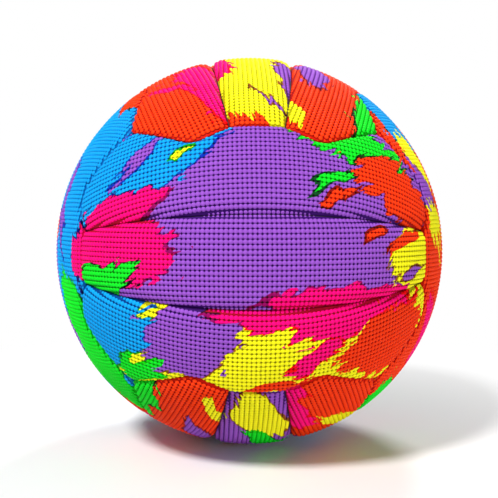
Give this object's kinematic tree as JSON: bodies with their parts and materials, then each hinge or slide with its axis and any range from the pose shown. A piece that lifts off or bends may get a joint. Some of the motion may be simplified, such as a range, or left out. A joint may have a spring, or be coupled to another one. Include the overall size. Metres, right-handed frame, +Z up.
{
  "type": "netball",
  "caption": "Sewn netball with pimpled, puffed rubber strip panels in a paint-splash print, cloth linings, an inflated bladder and a needle valve.",
  "frame": {"origin": "centre of the ball", "axes": "+Z up through the middle of the top face, -Y out of the front face seen in the picture, +Y out of the back face through the valve, +X to the right"},
  "size_m": [0.2216, 0.2216, 0.2216],
  "materials": {
    "orange_rubber": "matte printed pimpled rubber",
    "pink_rubber": "matte printed pimpled rubber",
    "purple_rubber": "matte printed pimpled rubber",
    "blue_rubber": "matte printed pimpled rubber",
    "green_rubber": "matte printed pimpled rubber",
    "yellow_rubber": "matte printed pimpled rubber",
    "lining_cloth": "laminated poly-cotton plies",
    "waxed_thread": "waxed polyester",
    "latex": "smooth black latex",
    "valve_rubber": "moulded black rubber"
  },
  "bodies": {
    "root": {"front_upper_cover": "blue_rubber", "front_middle_cover": "pink_rubber", "front_lower_cover": "yellow_rubber", "back_upper_cover": "orange_rubber", "back_middle_cover": "purple_rubber", "back_lower_cover": "green_rubber", "right_front_cover": "yellow_rubber", "right_middle_cover": "purple_rubber", "right_back_cover": "orange_rubber", "left_front_cover": "green_rubber", "left_middle_cover": "blue_rubber", "left_back_cover": "pink_rubber", "top_left_cover": "orange_rubber", "top_middle_cover": "yellow_rubber", "top_right_cover": "green_rubber", "bottom_left_cover": "green_rubber", "bottom_middle_cover": "purple_rubber", "bottom_right_cover": "pink_rubber", "front_upper_lining": "lining_cloth", "front_middle_lining": "lining_cloth", "front_lower_lining": "lining_cloth", "back_upper_lining": "lining_cloth", "back_middle_lining": "lining_cloth", "back_lower_lining": "lining_cloth", "right_front_lining": "lining_cloth", "right_middle_lining": "lining_cloth", "right_back_lining": "lining_cloth", "left_front_lining": "lining_cloth", "left_middle_lining": "lining_cloth", "left_back_lining": "lining_cloth", "top_left_lining": "lining_cloth", "top_middle_lining": "lining_cloth", "top_right_lining": "lining_cloth", "bottom_left_lining": "lining_cloth", "bottom_middle_lining": "lining_cloth", "bottom_right_lining": "lining_cloth", "front_middle_thread": "waxed_thread", "back_middle_thread": "waxed_thread", "right_middle_thread": "waxed_thread", "left_middle_thread": "waxed_thread", "top_middle_thread": "waxed_thread", "bottom_middle_thread": "waxed_thread", "front_top_right_thread": "waxed_thread", "back_top_right_thread": "waxed_thread", "front_bottom_right_thread": "waxed_thread", "back_bottom_right_thread": "waxed_thread", "front_top_left_thread": "waxed_thread", "back_top_left_thread": "waxed_thread", "front_bottom_left_thread": "waxed_thread", "back_bottom_left_thread": "waxed_thread", "bladder": "latex", "valve_body": "valve_rubber", "valve_plug": "valve_rubber"}
  },
  "joints": []
}
